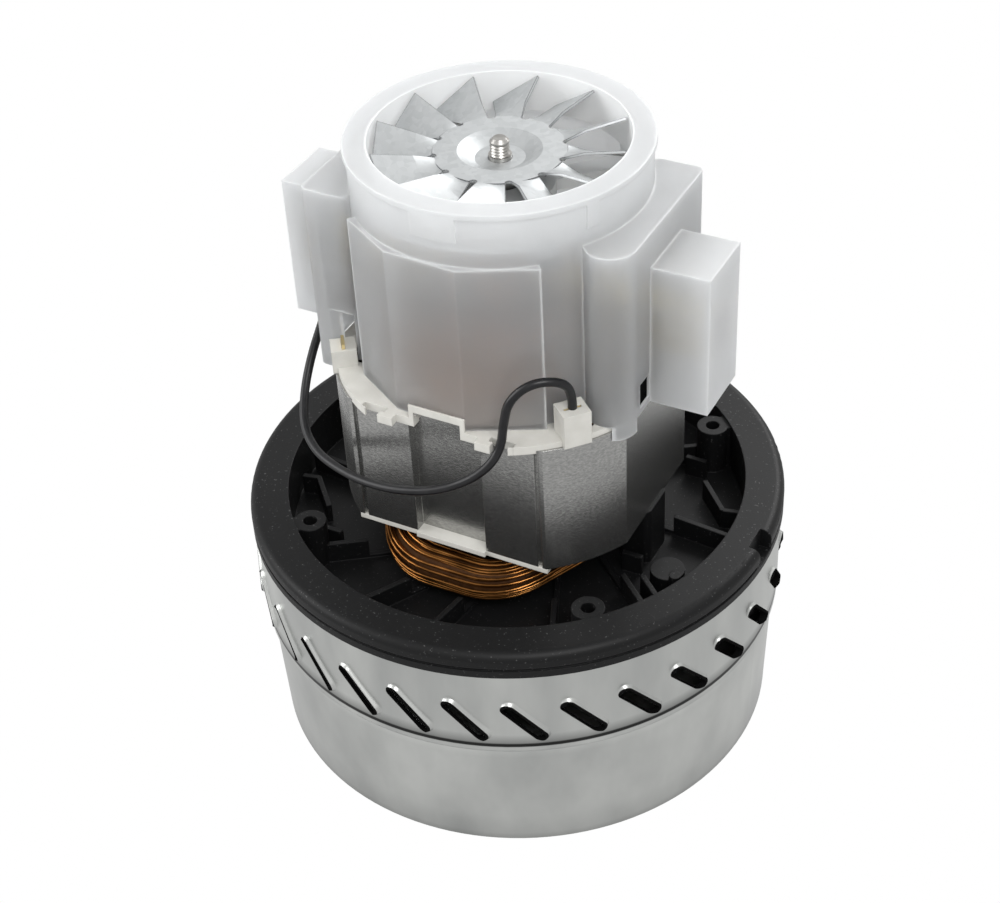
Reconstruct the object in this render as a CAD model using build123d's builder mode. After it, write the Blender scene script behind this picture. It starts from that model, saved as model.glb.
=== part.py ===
from build123d import *
import os
import numpy as np
from math import cos, pi, radians, sin, tan

# Two-stage bypass vacuum motor, millimetres, +Z up the shaft, origin on the motor axis
# at the face of the fan shell that the inlet opens through. The brushes lie along X.

# General fits and sheet
shell_sheet = 1.0
press_gap = 0.05
running_gap = 0.5
cut_overrun = 2.0

# Fan shell, the deep drawn cup round the first stage
band_radius = 72.0
seam_height = 36.3
cup_lap = 2.6
cup_draw_taper = 1.3
cup_corner_round = 3.0
inlet_radius = 17.5
inlet_lip_height = 5.0
inlet_lip_round = 1.6

# Discharge band with its ring of louvres
band_height = 26.7
slot_count = 30
slot_first_angle = -2.4
slot_length = 15.2
slot_width = 3.2
slot_tilt = -49
slot_rise = 10.4
lip_height = 0.9
lip_margin = 1.0
lip_shift = 0.6
lip_taper = 32

# Bell bracket, the black moulding that carries the stator
flange_overhang = 0.6
flange_height = 7.3
flange_round = 2.4
flange_groove = 0.5
flange_groove_height = 1.0
flange_groove_drop = 4.2
rim_width = 10.5
web_thickness = 2.6
skirt_wall = 2.6
spigot_depth = 5.0
pan_wall = 2.2
pan_depth = 14.3
floor_thickness = 2.5
hub_radius = 14.5
rib_thickness = 1.4
rib_height = 6.0
rib_low_height = 1.0
rib_high_start = 44.0
short_ribs = (
    (39.0, 34.0, 6.0, 0),
    (49.5, 21.2, 13.4, -46.5),
    (56.3, 17.0, 4.7, 12),
    (39.2, -10.0, 5.6, 0),
    (48.3, -19.5, 8.7, -41),
)
peg_x = 53.0
peg_y = -14.0
peg_radius = 1.6
peg_height = 7.0
rib_skew = -19
rib_angles = (-127, -101, -80, -48, -22, 14)
boss_circle_radius = 57.8
boss_radius = 4.3
boss_drop = 0.8
boss_web_width = 5.6
boss_hole_radius = 1.9
boss_hole_depth = 10.0
boss_angle = 45
post_length = 9.0
post_width = 12.0
post_round = 1.8
pad_radius = 4.6
pad_height = 5.0
pad_angle = -12
pad_circle_radius = 50.5
notch_width = 8.0
notch_depth = 3.4
notch_floor = 1.6

# Impellers and the guide between the stages
impeller_tip_gap = 9.4
impeller_sheet = 0.8
impeller_clearance = 2.0
impeller_height = 11.0
impeller_rim_height = 7.4
impeller_blades = 8
blade_sweep = 62
blade_middle_sweep = 38.4
vane_middle_sweep = 20.7
eye_clearance = 0.6
guide_gap = 1.6
guide_rim_gap = 4.9
guide_vane_height = 18.0
guide_vanes = 8
guide_eye_radius = 17.5
guide_collar_height = 1.6

# Shaft line
shaft_radius = 4.0
shaft_tail = 3.2
shaft_tip_radius = 2.9
stub_radius = 2.4
stub_length = 4.4
thread_pitch = 0.8
thread_depth = 0.3
thread_count = 4
spacer_radius = 6.4
nut_height = 5.0
nut_across_flats = 13.0
washer_radius = 8.0
washer_thickness = 1.6

# Ball bearings
bearing_radius = 11.0
bearing_width = 7.0
bearing_inner_radius = 6.3
bearing_running_gap = 0.06
bearing_chamfer = 0.4

# Laminated stator
stack_height = 38.0
stack_lift = 3.3
stack_radius = 45.5
stack_half_x = 41.5
stack_half_y = 36.4
stack_bore_radius = 23.5
shoe_radius = 26.0
shoe_open_half = 10.0
pole_half = 15.0
window_half_x = 35.0
window_half_y = 24.0
yoke_pad_half = 5.0
yoke_pad_depth = 4.0
recess_half = 10.0
recess_depth = 3.0
groove_offset = 25.5
groove_width = 1.2
groove_depth = 0.9
screw_circle_radius = 37.6
screw_radius = 2.0
screw_hole_gap = 0.2
screw_head_radius = 3.8
screw_head_height = 3.0
screw_grip = 12.0

# End insulators
lower_insulator = 1.5
lower_insulator_half = 27.5
lower_ledge = 0.9
upper_insulator = 1.6
tongue_half_y = 41.5
tongue_start = 11.5
tongue_drop = 0.8
flat_half_y = 39.4
upper_ledge_radius = 44.9
arch_half = 6.5
arch_post = 1.3
arch_rise = 1.9
arch_height = 2.0
arch_thickness = 0.6
slot_middle_x = 17.8
slot_mouth = 4.2
slot_start_y = 38.0
slot_bar = 1.6
slot_bar_length = 6.6

# Field coils
coil_turns = 12
coil_leg_x = 29.2
coil_leg_y = 12.2
coil_low_reach = 36.6
coil_bow_x = 17.0
coil_high_reach = 27.6
coil_low_sag = 9.2
coil_high_rise = 6.2
coil_layer_radius = 4.7
coil_wire = 1.2
coil_core_gap = 0.4
coil_corner_radius = 7.6
coil_bow_radius = 15.0
coil_first_angle = -50
coil_last_angle = 230

# Armature
armature_air_gap = 0.9
armature_slots = 22
armature_slot_width = 2.2
armature_slot_depth = 5.5
winding_low_height = 7.6
winding_high_height = 8.6
winding_low_radius = 20.4
winding_high_radius = 18.6
winding_waist = 9.0
winding_low_round = 2.5
winding_high_round = 2.9
commutator_radius = 12.5
commutator_length = 21.0
commutator_riser_radius = 14.6
commutator_riser = 2.6
commutator_groove = 0.7
commutator_groove_depth = 1.0
commutator_hub_radius = 7.5

# Motor cover
cover_height = 62.1
cover_radius = 37.2
cover_wall = 1.9
ring_proud = 0.7
ring_band = 1.5
fan_well_radius = 32.0
fan_well_wall = 1.5
fan_well_depth = 11.0
tab_drop = 7.7
tab_spans = ((-96.0, -78.5), (-31.0, -26.0))
panel_proud = 2.0
panel_angles = (-134.0, -108.0, -79.0, -49.5)
panel_drop = 14.4
slab_inner = 30.5
slab_outer = 43.6
slab_half = 23.5
slab_drop = 12.2
slab_skirt = 2.4
slab_round = 2.0
cover_stack_gap = 0.3
ear_reach = 58.8
ear_half = 9.2
ear_top_drop = 21.4
ear_wall = 1.7
window_start = 9.8
window_width = 5.4
window_rise = 3.4
window_height = 7.0
window_cut = 1.5
quarter_turn = 90
notch_reach = 7.0
spoke_count = 4
spoke_width = 6.0
spoke_thickness = 3.0
spoke_drop = 14.0
bearing_hub_wall = 2.4
bearing_cap = 1.5

# Brush gear
brush_rise = 20.8
brush_width = 6.0
brush_height = 10.0
brush_length = 24.0
brush_gap = 0.3
brush_clearance = 0.25
holder_wall = 0.8
holder_start = 15.5
holder_plate_half_y = 17.0
holder_plate_start = 20.0
holder_plate_thickness = 1.4
holder_cap_thickness = 1.2
spring_wire = 0.8
spring_gap = 0.15

# Cooling fan
fan_blades = 12
fan_sheet = 0.9
fan_blade_sheet = 0.7
fan_disc_radius = 16.4
fan_tip_radius = 30.9
fan_drop = 4.2
fan_dish_radius = 6.2
fan_dish_edge = 10.4
fan_dish_depth = 2.2
fan_blade_root_width = 6.6
fan_blade_bend_width = 8.6
fan_blade_tip_width = 14.0
fan_bend_length = 4.5
fan_bend_angle = 26
fan_tip_angle = 33
fan_relief_radius = 0.95
fan_first_angle = 19.7
bush_radius = 5.2
bush_flange = 1.2

# Terminals and lead
front_block_width = 7.2
left_block_width = 6.2
block_depth = 6.6
block_gap = 0.3
block_notch_rise = 9.0
front_block_rise = 9.4
left_block_rise = 6.6
front_block_angle = -41.9
left_block_angle = -144.5
block_circle_radius = 42.8
contact_thickness = 0.8
contact_width = 4.4
contact_rise = 1.4
contact_recess = 0.3
contact_seat = 5.0
lead_diameter = 2.3
cord_run_share = 0.45

os.makedirs("parts", exist_ok=True)


def save(builder, name):
    """Label a finished sub-part and write it under its own name."""
    builder.part.label = name
    export_step(builder.part, f"parts/{name}.step")


def polar(radius, angle, height):
    """A point at a radius, an angle in degrees and a height."""
    return (radius * cos(radians(angle)), radius * sin(radians(angle)), height)


def tangent_plane(radius, angle, height):
    """A plane that faces outward at a radius, with X along the rim and Y up."""
    outward = Vector(cos(radians(angle)), sin(radians(angle)), 0)
    along = Vector(-sin(radians(angle)), cos(radians(angle)), 0)
    return Plane(origin=polar(radius, angle, height), x_dir=along, z_dir=outward)


# Levels up the axis, each from the one before
band_top = seam_height + band_height
flange_top = band_top + flange_height
floor_top = flange_top - pan_depth
floor_low = floor_top - floor_thickness
stack_low = flange_top + stack_lift
stack_top = stack_low + stack_height
ledge_top = stack_top + upper_insulator
arch_low = ledge_top + arch_rise
arch_top = arch_low + arch_height
cover_top = stack_top + cover_height
ring_radius = cover_radius + ring_proud
brush_level = stack_top + brush_rise

# Fan shell
cup_radius = band_radius - shell_sheet - press_gap
cup_base_radius = cup_radius - cup_draw_taper
impeller_radius = cup_base_radius - shell_sheet - impeller_tip_gap
guide_plate_radius = cup_base_radius - guide_rim_gap
cup_rim = seam_height + cup_lap
with BuildPart() as fan_shell:
    with BuildSketch(Plane.XZ):
        with BuildLine():
            Polyline(
                (inlet_radius, inlet_lip_height),
                (inlet_radius, 0),
                (cup_base_radius, 0),
                (cup_radius, seam_height),
                (cup_radius, cup_rim),
                (cup_radius - shell_sheet, cup_rim),
                (cup_radius - shell_sheet, seam_height),
                (cup_base_radius - shell_sheet, shell_sheet),
                (inlet_radius + shell_sheet, shell_sheet),
                (inlet_radius + shell_sheet, inlet_lip_height),
                close=True,
            )
        make_face()
        low_points = vertices().group_by(Axis.Y)[0].sort_by(Axis.X)
        fillet(low_points[0], radius=inlet_lip_round)
        fillet(low_points[1], radius=cup_corner_round)
    revolve(axis=Axis.Z)
save(fan_shell, "fan_shell")

# Discharge band, with a low raised lip round every slanted slot
slot_level = seam_height + slot_rise
lip_length = slot_length + 2 * lip_margin
lip_width = slot_width + 2 * lip_margin
with BuildPart() as discharge_band:
    with BuildSketch(Plane.XY.offset(seam_height)):
        Circle(band_radius)
    extrude(amount=band_height)
    for index in range(slot_count):
        angle = slot_first_angle + index * 360 / slot_count
        with BuildSketch(tangent_plane(band_radius - shell_sheet / 2, angle, slot_level)):
            lift = (lip_shift * sin(radians(-slot_tilt)), lip_shift * cos(radians(slot_tilt)))
            with Locations(lift):
                SlotOverall(lip_length, lip_width, rotation=slot_tilt)
        extrude(amount=shell_sheet / 2 + lip_height, taper=lip_taper)
    with BuildSketch(Plane.XY.offset(seam_height)):
        Circle(band_radius - shell_sheet)
    extrude(amount=band_height, mode=Mode.SUBTRACT)
    for index in range(slot_count):
        angle = slot_first_angle + index * 360 / slot_count
        with BuildSketch(tangent_plane(band_radius - cut_overrun, angle, slot_level)):
            SlotOverall(slot_length, slot_width, rotation=slot_tilt)
        extrude(amount=2 * cut_overrun, mode=Mode.SUBTRACT)
save(discharge_band, "discharge_band")

# Bell bracket: rim, pan, bearing hub, eyelet bosses, ribs and stator posts
flange_radius = band_radius + flange_overhang
pan_radius = flange_radius - rim_width
pan_outer = pan_radius + pan_wall
spigot_radius = band_radius - shell_sheet - press_gap
bearing_low = floor_top + bearing_cap
hub_top = bearing_low + bearing_width
groove_top = flange_top - flange_groove_drop
with BuildPart() as bell_bracket:
    with BuildSketch(Plane.XZ):
        with BuildLine():
            Polyline(
                (0, floor_low),
                (pan_outer, floor_low),
                (pan_outer, flange_top - web_thickness),
                (spigot_radius - skirt_wall, flange_top - web_thickness),
                (spigot_radius - skirt_wall, band_top - spigot_depth),
                (spigot_radius, band_top - spigot_depth),
                (spigot_radius, band_top),
                (flange_radius, band_top),
                (flange_radius, groove_top - flange_groove_height),
                (flange_radius - flange_groove, groove_top - flange_groove_height),
                (flange_radius - flange_groove, groove_top),
                (flange_radius, groove_top),
                (flange_radius, flange_top),
                (pan_radius, flange_top),
                (pan_radius, floor_top),
                (hub_radius, floor_top),
                (hub_radius, hub_top),
                (0, hub_top),
                close=True,
            )
        make_face()
        rim_corner = vertices().group_by(Axis.Y)[-1].sort_by(Axis.X)[-1]
        fillet(rim_corner, radius=flange_round)
    revolve(axis=Axis.Z)
    # Skewed ribs on the floor of the pan, the same on both halves, lower under the coils
    for height, start in ((rib_low_height, hub_radius), (rib_height, rib_high_start)):
        with BuildSketch(Plane.XY.offset(floor_top)):
            for angle in rib_angles:
                for half_turn in (0, 180):
                    middle = polar((pan_radius + hub_radius) / 2, angle + half_turn, 0)
                    with Locations(Location(middle, (0, 0, angle + half_turn + rib_skew))):
                        Rectangle(pan_radius - hub_radius, rib_thickness)
            Circle(start, mode=Mode.SUBTRACT)
        extrude(amount=height)
    with BuildSketch(Plane.XY.offset(floor_top)):
        for side in (-1, 1):
            for middle_x, middle_y, length, angle in short_ribs:
                with Locations(Location((side * middle_x, side * middle_y, 0), (0, 0, angle))):
                    Rectangle(length, rib_thickness)
    extrude(amount=rib_height)
    with BuildSketch(Plane.XY.offset(floor_top)):
        with Locations((peg_x, peg_y), (-peg_x, -peg_y)):
            Circle(peg_radius)
    extrude(amount=peg_height)
    # Bosses with a blind screw hole, drawn in to the rim
    for index in range(4):
        angle = boss_angle + index * 90
        boss_plane = Plane(polar(0, angle, floor_top), x_dir=polar(1, angle, 0), z_dir=(0, 0, 1))
        with BuildSketch(boss_plane):
            with Locations((boss_circle_radius, 0)):
                Circle(boss_radius)
            with Locations(((boss_circle_radius + pan_outer) / 2, 0)):
                Rectangle(pan_outer - boss_circle_radius, boss_web_width)
        extrude(amount=flange_top - boss_drop - floor_top)
    # Posts under the flat sides of the stack, and low round pads beside them
    for side in (-1, 1):
        with BuildSketch(Plane.XY.offset(floor_top)):
            with Locations((side * (screw_circle_radius), 0)):
                RectangleRounded(post_length, post_width, post_round)
        extrude(amount=stack_low - floor_top)
        with BuildSketch(Plane.XY.offset(floor_top)):
            with Locations(Vector(side, 0).rotate(Axis.Z, pad_angle) * pad_circle_radius):
                Circle(pad_radius)
        extrude(amount=pad_height)
    # Holes: bearing seat, shaft, boss holes, stator screws and the notch in the rim
    with BuildSketch(Plane.XY.offset(bearing_low)):
        Circle(bearing_radius + press_gap)
    extrude(amount=bearing_width + cut_overrun, mode=Mode.SUBTRACT)
    with BuildSketch(Plane.XY.offset(floor_low - cut_overrun)):
        Circle(spacer_radius + running_gap)
    extrude(amount=floor_thickness + bearing_cap + 2 * cut_overrun, mode=Mode.SUBTRACT)
    with BuildSketch(Plane.XY.offset(flange_top - boss_drop)):
        with PolarLocations(boss_circle_radius, 4, start_angle=boss_angle):
            Circle(boss_hole_radius)
    extrude(amount=-boss_hole_depth, mode=Mode.SUBTRACT)
    with BuildSketch(Plane.XY.offset(stack_low)):
        with PolarLocations(screw_circle_radius, 2):
            Circle(screw_radius + press_gap)
    extrude(amount=-screw_grip, mode=Mode.SUBTRACT)
    with BuildSketch(Plane.XY.offset(band_top + notch_floor)):
        with Locations((flange_radius, 0)):
            Rectangle(2 * notch_depth, notch_width)
    extrude(amount=flange_height, mode=Mode.SUBTRACT)
save(bell_bracket, "bell_bracket")


def turned(name, outline):
    """A turned piece from its half outline in radius and height."""
    with BuildPart() as piece:
        with BuildSketch(Plane.XZ):
            with BuildLine():
                Polyline(*outline, close=True)
            make_face()
        revolve(axis=Axis.Z)
    save(piece, name)


def ring_outline(inner, outer, low, high):
    """The half outline of a plain ring."""
    return ((inner, low), (outer, low), (outer, high), (inner, high))


def impeller(name, low, eye):
    """A fan wheel: hub plate above, coned eye plate below, swept blades between."""
    high = low + impeller_height
    rim_low = high - impeller_rim_height
    with BuildPart() as wheel:
        with BuildSketch(Plane.XY.offset(high - impeller_sheet)):
            Circle(impeller_radius)
            Circle(shaft_radius + press_gap, mode=Mode.SUBTRACT)
        extrude(amount=impeller_sheet)
        with BuildSketch(Plane.XY.offset(low)):
            for index in range(impeller_blades):
                start = index * 360 / impeller_blades
                with BuildLine():
                    blade = ThreePointArc(
                        polar(eye + impeller_sheet, start, 0)[:2],
                        polar((eye + impeller_radius) / 2, start - blade_middle_sweep, 0)[:2],
                        polar(impeller_radius - impeller_sheet, start - blade_sweep, 0)[:2],
                    )
                    offset(blade, amount=impeller_sheet / 2, side=Side.BOTH)
                make_face()
        extrude(amount=impeller_height - impeller_sheet)
        # The space under the cone is cut away, then the cone itself is added
        with BuildSketch(Plane.XZ):
            with BuildLine():
                Polyline(
                    (eye, low),
                    (impeller_radius, rim_low),
                    (impeller_radius, low - cut_overrun),
                    (eye, low - cut_overrun),
                    close=True,
                )
            make_face()
        revolve(axis=Axis.Z, mode=Mode.SUBTRACT)
        with BuildSketch(Plane.XZ):
            with BuildLine():
                Polyline(
                    (eye, low),
                    (impeller_radius, rim_low),
                    (impeller_radius, rim_low + impeller_sheet),
                    (eye, low + impeller_sheet),
                    close=True,
                )
            make_face()
        revolve(axis=Axis.Z)
    save(wheel, name)


# First stage wheel, over the inlet lip
wheel_eye = inlet_radius + shell_sheet + eye_clearance
first_low = shell_sheet + impeller_clearance
first_high = first_low + impeller_height
impeller("first_impeller", first_low, wheel_eye)

# Guide between the stages: a plate with return vanes, under a plate with the next eye
guide_low = first_high + guide_gap
guide_high = guide_low + shell_sheet + guide_vane_height
with BuildPart() as return_guide:
    with BuildSketch(Plane.XY.offset(guide_low)):
        Circle(guide_plate_radius)
        Circle(guide_eye_radius, mode=Mode.SUBTRACT)
    extrude(amount=shell_sheet)
    with BuildSketch(Plane.XY.offset(guide_low + shell_sheet)):
        for index in range(guide_vanes):
            start = index * 360 / guide_vanes
            with BuildLine():
                vane = ThreePointArc(
                    polar(guide_eye_radius + shell_sheet, start, 0)[:2],
                    polar((guide_eye_radius + guide_plate_radius) / 2, start + vane_middle_sweep, 0)[:2],
                    polar(guide_plate_radius - shell_sheet, start + blade_sweep / 2, 0)[:2],
                )
                offset(vane, amount=shell_sheet / 2, side=Side.BOTH)
            make_face()
    extrude(amount=guide_vane_height)
save(return_guide, "return_guide")

stage_plate_radius = cup_base_radius + (cup_radius - cup_base_radius) * guide_high / seam_height
stage_plate_radius = stage_plate_radius - shell_sheet - press_gap
collar_top = guide_high + shell_sheet + guide_collar_height
turned(
    "stage_plate",
    (
        (guide_eye_radius, guide_high),
        (stage_plate_radius, guide_high),
        (stage_plate_radius, guide_high + shell_sheet),
        (guide_eye_radius + shell_sheet, guide_high + shell_sheet),
        (guide_eye_radius + shell_sheet, collar_top),
        (guide_eye_radius, collar_top),
    ),
)

# Second stage wheel, behind the louvres
second_eye = guide_eye_radius + shell_sheet + eye_clearance
second_low = guide_high + shell_sheet + impeller_clearance / 2
second_high = second_low + impeller_height
impeller("second_impeller", second_low, second_eye)

# Shaft line from the tail nut up
bearing_high = bearing_low + bearing_width
armature_low = stack_low
armature_high = stack_top
winding_high_top = armature_high + winding_high_height
commutator_low = winding_high_top
commutator_high = commutator_low + commutator_length
spoke_top = cover_top - spoke_drop
top_bearing_high = spoke_top
top_bearing_low = top_bearing_high - bearing_width
fan_plane = cover_top - fan_drop
bush_seat = fan_plane - fan_dish_depth - fan_sheet
nut_low = first_high - impeller_sheet - washer_thickness - nut_height
shaft_low = nut_low - shaft_tail + impeller_clearance
stub_low = fan_plane - fan_dish_depth + fan_sheet
stub_high = stub_low + stub_length
with BuildPart() as shaft:
    with BuildSketch(Plane.XZ):
        with BuildLine():
            outline = [
                (0, shaft_low),
                (shaft_radius, shaft_low),
                (shaft_radius, top_bearing_high + bush_flange),
                (shaft_tip_radius, top_bearing_high + bush_flange),
                (shaft_tip_radius, stub_low),
                (stub_radius, stub_low),
            ]
            for index in range(thread_count):
                root = stub_low + (index + 0.5) * thread_pitch
                outline.append((stub_radius - thread_depth, root))
                outline.append((stub_radius, root + thread_pitch / 2))
            outline.append((stub_radius, stub_high - thread_pitch))
            outline.append((stub_radius - thread_pitch, stub_high))
            outline.append((0, stub_high))
            Polyline(*outline, close=True)
        make_face()
    revolve(axis=Axis.Z)
save(shaft, "shaft")

shaft_bore = shaft_radius + press_gap
nut_high = nut_low + nut_height
washer_high = nut_high + washer_thickness
turned("tail_washer", ring_outline(shaft_bore, washer_radius, nut_high, washer_high))
with BuildPart() as tail_nut:
    with BuildSketch(Plane.XY.offset(nut_low)):
        RegularPolygon(nut_across_flats / 2, 6, major_radius=False)
        Circle(shaft_bore, mode=Mode.SUBTRACT)
    extrude(amount=nut_height)
save(tail_nut, "tail_nut")
turned("stage_spacer", ring_outline(shaft_bore, spacer_radius, first_high, second_high - impeller_sheet))
turned("bracket_spacer", ring_outline(shaft_bore, spacer_radius, second_high, bearing_low))
winding_low = armature_low - winding_low_height
turned(
    "armature_spacer",
    ring_outline(shaft_bore, bearing_inner_radius, bearing_high, winding_low),
)

# Ball bearings, each an outer race with its shields and an inner race on the shaft
for name, low in (("lower_bearing", bearing_low), ("upper_bearing", top_bearing_low)):
    shield_bore = bearing_inner_radius + bearing_running_gap
    with BuildPart() as outer_race:
        with BuildSketch(Plane.XZ):
            with BuildLine():
                Polyline(*ring_outline(shield_bore, bearing_radius, low, low + bearing_width), close=True)
            make_face()
            chamfer(vertices().group_by(Axis.X)[-1], length=bearing_chamfer)
        revolve(axis=Axis.Z)
    save(outer_race, name + "_outer")
    turned(name + "_inner", ring_outline(shaft_bore, bearing_inner_radius, low, low + bearing_width))

# Armature core with its slots
armature_radius = stack_bore_radius - armature_air_gap
with BuildPart() as armature_core:
    with BuildSketch(Plane.XY.offset(armature_low)):
        Circle(armature_radius)
        Circle(shaft_bore, mode=Mode.SUBTRACT)
        with PolarLocations(armature_radius - armature_slot_depth / 2, armature_slots):
            Rectangle(armature_slot_depth + press_gap, armature_slot_width, mode=Mode.SUBTRACT)
    extrude(amount=armature_high - armature_low)
save(armature_core, "armature_core")

# Armature winding: a rounded head at each end and a filled bar in every slot
with BuildPart() as armature_winding:
    with BuildSketch(Plane.XY.offset(armature_low)):
        with PolarLocations(armature_radius - armature_slot_depth / 2, armature_slots):
            Rectangle(armature_slot_depth - 2 * press_gap, armature_slot_width - 2 * press_gap)
    extrude(amount=armature_high - armature_low)
    with BuildSketch(Plane.XZ):
        with BuildLine():
            low_head = ring_outline(winding_waist, winding_low_radius, winding_low, armature_low)
            Polyline(*low_head, close=True)
        make_face()
        fillet(vertices().group_by(Axis.Y)[0], radius=winding_low_round)
        with BuildLine():
            high_head = (winding_waist, winding_high_radius, armature_high, winding_high_top)
            Polyline(*ring_outline(*high_head), close=True)
        make_face()
        fillet(vertices().group_by(Axis.Y)[-1].sort_by(Axis.X)[-1], radius=winding_high_round)
    revolve(axis=Axis.Z)
save(armature_winding, "armature_winding")

# Commutator: copper bars on a moulded hub
with BuildPart() as commutator:
    with BuildSketch(Plane.XZ):
        with BuildLine():
            Polyline(
                (commutator_hub_radius, commutator_low),
                (commutator_riser_radius, commutator_low),
                (commutator_riser_radius, commutator_low + commutator_riser),
                (commutator_radius, commutator_low + commutator_riser),
                (commutator_radius, commutator_high),
                (commutator_hub_radius, commutator_high),
                close=True,
            )
        make_face()
    revolve(axis=Axis.Z)
    with BuildSketch(Plane.XY.offset(commutator_low)):
        with PolarLocations(commutator_radius, armature_slots):
            Rectangle(2 * commutator_groove_depth, commutator_groove)
    extrude(amount=commutator_length, mode=Mode.SUBTRACT)
save(commutator, "commutator")
turned(
    "commutator_hub",
    ring_outline(shaft_bore, commutator_hub_radius - press_gap, commutator_low, top_bearing_low),
)


def stack_outline(inset=0):
    """The stack's plan inside a sketch: a circle with four flats, smaller by an inset."""
    Circle(stack_radius - inset)
    Rectangle(2 * (stack_half_x - inset), 2 * (stack_half_y - inset), mode=Mode.INTERSECT)


def stack_windows(inset=0):
    """The coil windows and the bore, cut in a sketch, smaller by an inset."""
    shoe = shoe_radius + inset
    for side in (-1, 1):
        with Locations((side * (pole_half + window_half_x) / 2, 0)):
            Rectangle(
                window_half_x - pole_half - 2 * inset,
                2 * (window_half_y - inset),
                mode=Mode.SUBTRACT,
            )
        with Locations((side * (window_half_x - yoke_pad_depth / 2), 0)):
            Rectangle(yoke_pad_depth + 2 * inset, 2 * yoke_pad_half)
    Circle(shoe)
    for side in (-1, 1):
        with Locations((side * (shoe - shoe_open_half / 2), 0)):
            Rectangle(shoe_open_half, 2 * shoe_open_half, mode=Mode.SUBTRACT)
    Circle(stack_bore_radius + inset, mode=Mode.SUBTRACT)


# Laminated stator: yoke, two pole shoes, coil windows and the bore
with BuildPart() as stator_core:
    with BuildSketch(Plane.XY.offset(stack_low)):
        stack_outline()
        stack_windows()
        for side in (-1, 1):
            with Locations((0, side * (stack_half_y - recess_depth / 2))):
                Rectangle(2 * recess_half, recess_depth, mode=Mode.SUBTRACT)
            for end in (-1, 1):
                with Locations((end * groove_offset, side * (stack_half_y - groove_depth / 2))):
                    Rectangle(groove_width, groove_depth, mode=Mode.SUBTRACT)
        with PolarLocations(screw_circle_radius, 2):
            Circle(screw_radius + screw_hole_gap, mode=Mode.SUBTRACT)
    extrude(amount=stack_height)
save(stator_core, "stator_core")

# Lower end insulator, with a ledge across the recess of each long face
with BuildPart() as lower_insulator_frame:
    with BuildSketch(Plane.XY.offset(stack_low - lower_insulator)):
        stack_outline()
        stack_windows(press_gap)
        Rectangle(2 * lower_insulator_half, 2 * stack_half_y, mode=Mode.INTERSECT)
    extrude(amount=lower_insulator)
    with BuildSketch(Plane.XY.offset(stack_low - lower_insulator)):
        for side in (-1, 1):
            with Locations((0, side * (stack_half_y - recess_depth / 2 + lower_ledge / 2))):
                Rectangle(2 * recess_half, recess_depth + lower_ledge)
    extrude(amount=lower_insulator)
save(lower_insulator_frame, "lower_insulator")

# Field coils. Each bundle runs up one window, bows out over the stack, comes down the
# other window and bows out under it. The outer layer winds on a plain core.
coil_low_level = stack_low - lower_insulator - coil_low_sag
coil_high_level = ledge_top + coil_high_rise
plate_top = brush_level - brush_height / 2 - brush_clearance - holder_wall
plate_low = plate_top - holder_plate_thickness


def bow_shift(target_x, target_y, spread, lean):
    """How far a wire lies inside and outside a bow's first run, and that run's slopes."""
    run = Vector(coil_leg_x - target_x, target_y - coil_leg_y)
    across = run.Y / run.length
    along = run.X / run.length
    return lean * across - spread * along, spread * across + lean * along, across, along


def coil_corners(spread, lean, side):
    """One loop's seven corners. The bundle's section stays round in every run."""
    leg_x = coil_leg_x + spread
    leg_y = coil_leg_y + lean
    inside, outside, across, along = bow_shift(coil_bow_x, coil_low_reach, spread, lean)
    low = coil_low_level + inside
    bow_x = coil_bow_x + outside * across / (1 + along)
    bow_y = coil_low_reach + outside
    inside, outside, across, along = bow_shift(0, coil_high_reach, spread, lean)
    high = coil_high_level - inside
    corners = (
        (leg_x, leg_y, low),
        (bow_x, bow_y, low),
        (-bow_x, bow_y, low),
        (-leg_x, leg_y, low),
        (-leg_x, leg_y, high),
        (0, coil_high_reach + outside / along, high),
        (leg_x, leg_y, high),
    )
    return [(-side * x, side * y, z) for x, y, z in corners]


def coil_place(turn):
    """How far a turn spreads and leans from the middle of the bundle."""
    angle = coil_first_angle + turn * (coil_last_angle - coil_first_angle) / (coil_turns - 1)
    return coil_layer_radius * cos(radians(angle)), coil_layer_radius * sin(radians(angle))


def coil_radii(spread, lean):
    """The bend radii at one loop's seven corners."""
    inside, outside = bow_shift(coil_bow_x, coil_low_reach, spread, lean)[:2]
    low_corner = coil_corner_radius - inside
    low_bow = coil_bow_radius + outside
    inside, outside = bow_shift(0, coil_high_reach, spread, lean)[:2]
    high_corner = coil_corner_radius - inside
    high_bow = coil_bow_radius + outside
    return [low_corner, low_bow, low_bow, low_corner, high_corner, high_bow, high_corner]


def route_points(route, step):
    """Places along a route of edges, about a step apart, and how far along each is."""
    places = []
    lengths = []
    travelled = 0
    for edge in route.edges():
        count = max(2, int(edge.length / step))
        for index in range(count):
            places.append(tuple(edge.position_at(index / count)))
            lengths.append(travelled + edge.length * index / count)
        travelled = travelled + edge.length
    return np.array(places), np.array(lengths)


def least_gap(route, diameter):
    """The least gap between a tube's turns, from points on its middle line."""
    places, lengths = route_points(route, diameter / 2)
    least = route.length
    for place, along in zip(places, lengths):
        others = places[lengths - along > pi * diameter]
        if len(others):
            least = min(least, np.linalg.norm(others - place, axis=1).min())
    return least - diameter


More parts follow.
